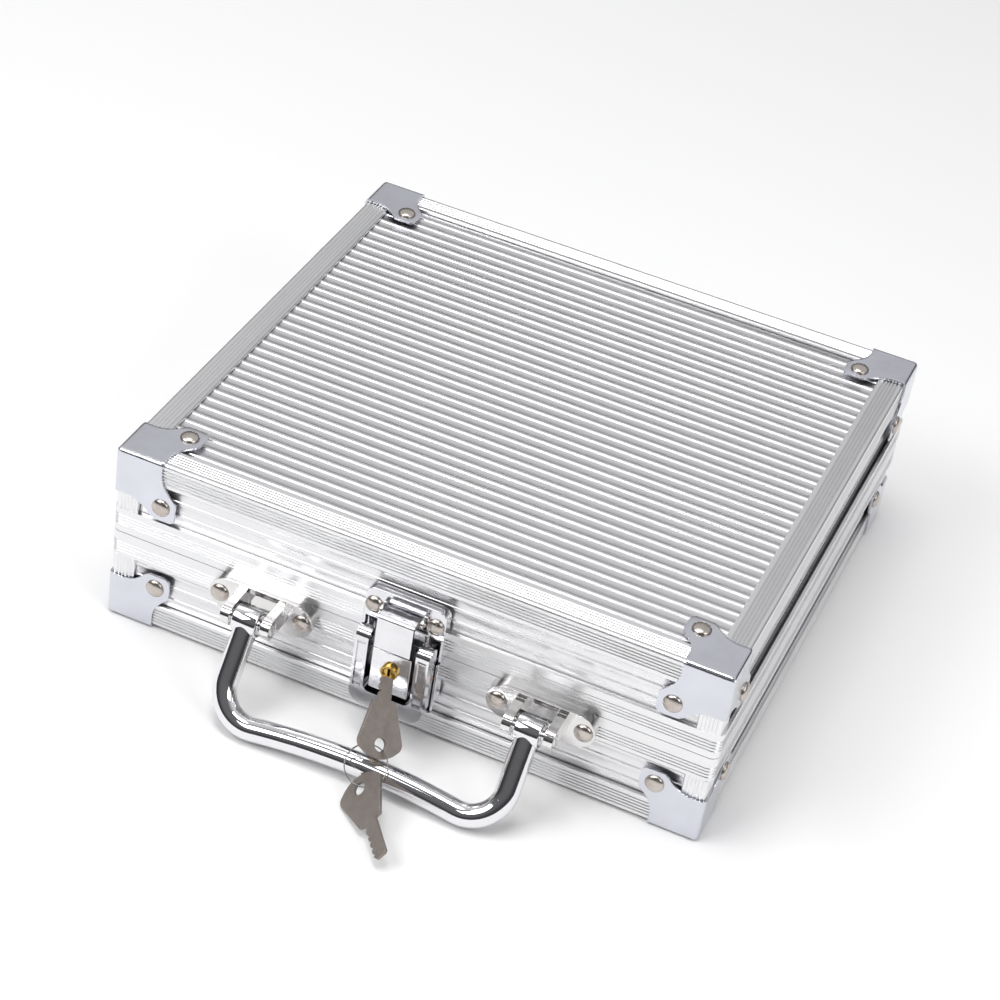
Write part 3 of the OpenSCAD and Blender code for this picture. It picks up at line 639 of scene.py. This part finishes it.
RIVET_AT = 17.3        # from both edges of a guard
FRONT_PLATE = -104.0   # outer face of the brackets and of the strike plate
BRACKET_Z, BRACKET_RIVET = 29.0, 14.7
STRIKE_Z, STRIKE_RIVET = 48.0, 10.6
for part, sz in (("base", -1), ("lid", 1)):
    places = []
    for label, (sx, sy) in CORNERS.items():
        low, high = span(f"{part}_guard_{label}")
        signs = np.array([sx, sy, sz], float)
        corner = np.where(signs > 0, high, low)
        for flat in range(3):
            if part == "base" and flat == 2:
                continue
            centre = corner - signs * RIVET_AT
            centre[flat] = corner[flat]
            places.append((centre, np.eye(3)[flat] * signs[flat]))
    if part == "base":
        for node in ("bracket_left", "bracket_right"):
            low, high = span(node)
            middle = (low[0] + high[0]) / 2
            places += [((middle + s * BRACKET_RIVET, FRONT_PLATE, BRACKET_Z), -Y) for s in (-1, 1)]
    rivet_heads("base_rivets" if part == "base" else "lid_guard_rivets", places, 3.2, 1.55)

rivet_heads("strike_rivets", [((s * STRIKE_RIVET, FRONT_PLATE, STRIKE_Z), -Y) for s in (-1, 1)], 3.0, 1.75)


# ---- handle ---------------------------------------------------------------------------------

def bail_path(gap, reach, bend, bow, pivot, droop):
    """Middle line of the bail from one pivot to the other, its tangents and its plane's normal.

    Two straight legs, two round bends of 90 degrees plus the bow angle, and a grip that is one
    shallow arc bowing back towards the pivots.
    """
    b = math.radians(bow)
    half = gap / 2
    corner_y = reach - bend
    a = np.linspace(0, math.pi / 2 + b, 22)
    right_bend = np.stack([half - bend + bend * np.cos(a), corner_y + bend * np.sin(a)], 1)
    edge = right_bend[-1]
    grip_r = edge[0] / math.sin(b)
    centre_y = edge[1] + grip_r * math.cos(b)
    g = np.linspace(b, -b, 40)[1:-1]
    grip = np.stack([grip_r * np.sin(g), centre_y - grip_r * np.cos(g)], 1)
    leg = np.stack([np.full(10, half), np.linspace(0, corner_y, 10, endpoint=False)], 1)
    left = np.concatenate([leg, right_bend])[::-1] * (-1, 1)
    flat = np.concatenate([leg, right_bend, grip, left])
    d = math.radians(droop)
    down = np.array([0, -math.cos(d), -math.sin(d)])
    path = pivot + flat[:, :1] * X + flat[:, 1:] * down
    tangent = np.gradient(path, axis=0)
    tangent /= np.linalg.norm(tangent, axis=1, keepdims=True)
    return path, tangent, np.cross(X, down)


PIVOT = np.array([0.0, -112.6, 29.8])
path, tangent, normal = bail_path(98.0, 31.9, 12.0, 7.5, PIVOT, 53.2)
tube = swept(path, tangent, np.tile(normal, (len(path), 1)), np.full(len(path), 4.0), 36)
EYE = [(1.6, -4.0), (1.9, -4.25), (4.2, -4.25), (4.5, -4.1), (4.6, -3.8), (4.6, 3.8), (4.5, 4.1),
       (4.2, 4.25), (1.9, 4.25), (1.6, 4.0), (1.6, -4.0)]
eyes = [turned(EYE, PIVOT + X * s * 49.0, X, 40) for s in (-1, 1)]
points, faces = joined([tube] + eyes)
add_piece("bail", points, faces, "handle", smooth=45.0, replaces=("handle",), weld=0.002)


# ---- barrel of the lock -----------------------------------------------------------------------

LOCK_FRONT = -110.5
BARREL = [(1.8, -6.0), (2.6, -6.0), (2.6, 0.0), (2.9, 0.0), (2.9, 1.15), (2.8, 1.38), (2.6, 1.5),
          (2.35, 1.5), (2.1, 1.4), (1.9, 1.15), (1.8, 0.8), (1.8, -6.0)]
points, faces = turned(BARREL, np.array([0.0, LOCK_FRONT, PIVOT[2]]), -Y, 48)
add_piece("lock_barrel_turned", points, faces, "lock_barrel", smooth=40.0, replaces=("lock_barrel",),
          weld=0.002)


# ---- ring -----------------------------------------------------------------------------------

def split_ring(low, high, radius, wire, turns=2, steps=150):
    """Two close turns of thin wire: centre + radius * spoke(a), drifting sideways by one wire."""
    centre = (low + high) / 2
    ax, az = math.radians(37.87), math.radians(12.8)
    side = np.array([math.cos(az), math.sin(az), 0])
    normal = np.array([math.sin(az) * math.sin(ax), -math.cos(az) * math.sin(ax), math.cos(ax)])
    up = np.cross(normal, side)
    a = np.linspace(0, 2 * np.pi * turns, steps * turns) + 0.9
    spoke = np.cos(a)[:, None] * side + np.sin(a)[:, None] * up
    drift = wire * np.tanh(np.linspace(-9, 9, len(a)))[:, None] * normal
    path = centre + radius * spoke + drift
    tangent = np.gradient(path, axis=0)
    tangent /= np.linalg.norm(tangent, axis=1, keepdims=True)
    tube_points, tube_faces = swept(path, tangent, spoke, np.full(len(path), wire), 10)
    caps = [list(range(9, -1, -1)), list(range(len(tube_points) - 10, len(tube_points)))]
    return tube_points, tube_faces.tolist() + caps


points, faces = split_ring(*span("key_ring"), 6.8, 0.2)
add_piece("key_ring_wire", points, faces, "key_ring", smooth=60.0, replaces=("key_ring",))


# ---- tray and lid pad -----------------------------------------------------------------------

def height_slab(name, xs, ys, heights, back, node, replaces):
    """A slab between a height over a grid and a flat back, closed by a skirt all round."""
    gx, gy = np.meshgrid(xs, ys, indexing="ij")
    rows, columns = gx.shape
    border = ([(0, j) for j in range(columns)] + [(i, columns - 1) for i in range(1, rows)] +
              [(rows - 1, j) for j in range(columns - 2, -1, -1)] +
              [(i, 0) for i in range(rows - 2, 0, -1)])
    top = np.stack([gx, gy, heights], -1).reshape(-1, 3)
    points = np.concatenate([top, [[gx[at], gy[at], back] for at in border]])
    first, count = rows * columns, len(border)
    rim = [i * columns + j for i, j in border]
    faces = grid_faces(rows, columns).tolist()
    faces += [[rim[k], rim[(k + 1) % count], first + (k + 1) % count, first + k] for k in range(count)]
    faces.append([first + k for k in range(count)])
    return add_piece(name, points, faces, node, smooth=50.0, replaces=replaces)


def lines_with_edges(low, high, step, edges, round_by):
    """Even grid lines plus close ones each side of every edge, for crisp rounded rims."""
    even = np.arange(low, high, step)
    close = (np.asarray(edges)[:, None] + np.array([-1, -0.6, -0.25, 0.0, 0.02, 0.3]) * round_by).ravel()
    lines = np.union1d(even, close)
    lines = np.concatenate([[low], lines[(lines > low + 0.02) & (lines < high - 0.02)], [high]])
    return lines[np.concatenate([[True], np.diff(lines) > 0.015])]


def well_drop(inside, depth, round_by):
    """Depth below the rim for a distance inside a wall: a quarter round, then the full depth."""
    t = np.clip(inside / round_by + 1, 0, 1)
    lip = round_by * (1 - np.sqrt(1 - t * t))
    return np.where(inside > 0, depth, lip)


TROUGHS = (-73.8, -24.6, 24.6, 73.8)        # middles of the chip troughs
TROUGH_R, TROUGH_Y = 20.6, (-89.4, -3.4)
WELLS = [(-43, 43, 0.6, 17.6, 11.2), (-95, -3, 21.6, 83.6, 13.2), (3, 95, 21.6, 83.6, 13.2)]


def tray_heights(x, y, rim, floor):
    """Rim height less the deepest of the troughs and wells over each grid point."""
    gx, gy = np.meshgrid(x, y, indexing="ij")
    drop = np.zeros_like(gx)
    for middle in TROUGHS:
        off = np.abs(gx - middle)
        round_floor = np.sqrt(np.clip(TROUGH_R ** 2 - off ** 2, 0, None))
        bottom = rim - (floor + 1.5 + TROUGH_R - round_floor)
        inside = np.minimum(TROUGH_R - off, np.minimum(gy - TROUGH_Y[0], TROUGH_Y[1] - gy))
        drop = np.maximum(drop, well_drop(inside, np.maximum(bottom, 3.7), 1.2))
    for x0, x1, y0, y1, level in WELLS:
        inside = np.minimum(np.minimum(gx - x0, x1 - gx), np.minimum(gy - y0, y1 - gy))
        drop = np.maximum(drop, well_drop(inside, rim - level, 1.2))
    return rim - drop


tray_low, tray_high = span("tray_boards")
edges_x = [m + s * TROUGH_R for m in TROUGHS for s in (-1, 1)] + [-43, 43, -95, -3, 3, 95]
edges_y = [-89.4, -3.4, 0.6, 17.6, 21.6, 83.6]
xs = lines_with_edges(tray_low[0], tray_high[0], 1.6, edges_x, 1.2)
ys = lines_with_edges(tray_low[1], tray_high[1], 2.0, edges_y, 1.2)
tray = height_slab("flocked_tray", xs, ys, tray_heights(xs, ys, tray_high[2], tray_low[2]), tray_low[2],
                   "tray_boards", ("tray_boards", "tray_ridges", "tray_blocks"))

pad_low, pad_high = span("lid_pad")
xs = np.linspace(pad_low[0], pad_high[0], 190)
ys = np.linspace(pad_low[1], pad_high[1], 180)
gx, gy = np.meshgrid(xs, ys, indexing="ij")
lumps = 0.5 + 0.5 * np.cos(gx * 2 * np.pi / 24.0) * np.cos(gy * 2 * np.pi / 24.0)
pad = height_slab("egg_crate_pad", xs, ys, pad_low[2] + 5.2 * (1 - lumps ** 0.8), pad_high[2], "lid_pad",
                  ("lid_pad",))


# ---- rounded fittings -----------------------------------------------------------------------

for node, width, segments in (
        ("bracket_left", 0.55, 3), ("bracket_right", 0.55, 3), ("strike_plate", 0.45, 3), ("hasp", 0.35, 3),
        ("lock_bezel", 0.6, 3), ("lock_base", 0.3, 2), ("lock_box", 0.5, 3), ("lock_plug", 0.08, 2),
        ("key_leaning", 0.16, 2), ("key_spare", 0.16, 2),
        ("hinge_base_leaves", 0.15, 2), ("hinge_lid_leaves", 0.15, 2)):
    softened(node, width, segments)

for node, piece in nodes.items():
    material = finishes[slot_of_node[node]]
    piece.data.materials.clear()
    piece.data.materials.append(material)


# ---- floor, lights and surroundings ---------------------------------------------------------

def add_floor():
    mesh = bpy.data.meshes.new("floor")
    mesh.from_pydata([(-4, -4, 0), (4, -4, 0), (4, 4, 0), (-4, 4, 0)], [], [(0, 1, 2, 3)])
    floor = bpy.data.objects.new("floor", mesh)
    bpy.context.collection.objects.link(floor)
    material, tree, shader, where = blank("pale_floor")
    tone = noise(tree, where, 3.0)
    pale = blend_colours(tree, tone, (0.92, 0.92, 0.92), (0.95, 0.95, 0.95))
    link(tree, pale, shader.inputs["Base Color"])
    shader.inputs["Roughness"].default_value = 0.9
    shader.inputs["Specular IOR Level"].default_value = 0.1
    mesh.materials.append(material)
    floor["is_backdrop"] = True


def add_softbox(name, place, target, size, power):
    data = bpy.data.lights.new(name, "AREA")
    data.shape = "RECTANGLE"
    data.size, data.size_y = size
    data.energy = power
    lamp = bpy.data.objects.new(name, data)
    bpy.context.collection.objects.link(lamp)
    back = np.array(place, float) - np.array(target, float)
    back /= np.linalg.norm(back)
    right = np.cross(Z, back)
    right /= np.linalg.norm(right)
    matrix = np.eye(4)
    matrix[:3, :3] = np.stack([right, np.cross(back, right), back], 1)
    matrix[:3, 3] = place
    lamp.matrix_world = Matrix(matrix.tolist())


def add_surroundings():
    """A studio in tones: bright overhead and in front, grey behind, a dark band at the horizon."""
    world = bpy.data.worlds.new("studio")
    bpy.context.scene.world = world
    world.use_nodes = True
    tree = world.node_tree
    split = tree.nodes.new("ShaderNodeSeparateXYZ")
    link(tree, tree.nodes.new("ShaderNodeTexCoord").outputs["Generated"], split.inputs[0])
    ramp = tree.nodes.new("ShaderNodeValToRGB")
    stops = [(0.0, 0.6), (0.5, 0.5), (0.52, 0.04), (0.62, 0.06), (0.70, 0.5), (0.80, 0.68),
             (0.90, 0.70), (1.0, 0.6)]
    ramp.color_ramp.elements[0].position = stops[0][0]
    ramp.color_ramp.elements[1].position = stops[-1][0]
    for place, _ in stops[1:-1]:
        ramp.color_ramp.elements.new(place)
    for element, (_, tone) in zip(ramp.color_ramp.elements, stops):
        element.color = (tone, tone, tone * 1.01, 1)
    link(tree, spread(tree, split.outputs["Z"], -1.0, 1.0, 0.0, 1.0), ramp.inputs["Fac"])
    front = spread(tree, split.outputs["Y"], 0.1, -0.4, 0.0, 0.85)
    link(tree, blend_colours(tree, front, ramp.outputs["Color"], (0.05, 0.05, 0.055)),
         tree.nodes["Background"].inputs["Color"])
    tree.nodes["Background"].inputs["Strength"].default_value = 1.0


add_floor()
add_softbox("key_softbox", (-0.9, -0.9, 1.3), (0, 0, 0.03), (1.1, 0.8), 13)
add_softbox("fill_softbox", (1.2, -0.5, 1.0), (0, 0, 0.03), (0.7, 0.7), 5)
add_softbox("top_softbox", (-0.1, -0.2, 1.6), (0, 0, 0.03), (0.9, 0.5), 10)
add_surroundings()
bpy.context.scene.view_settings.view_transform = "Standard"

low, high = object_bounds()
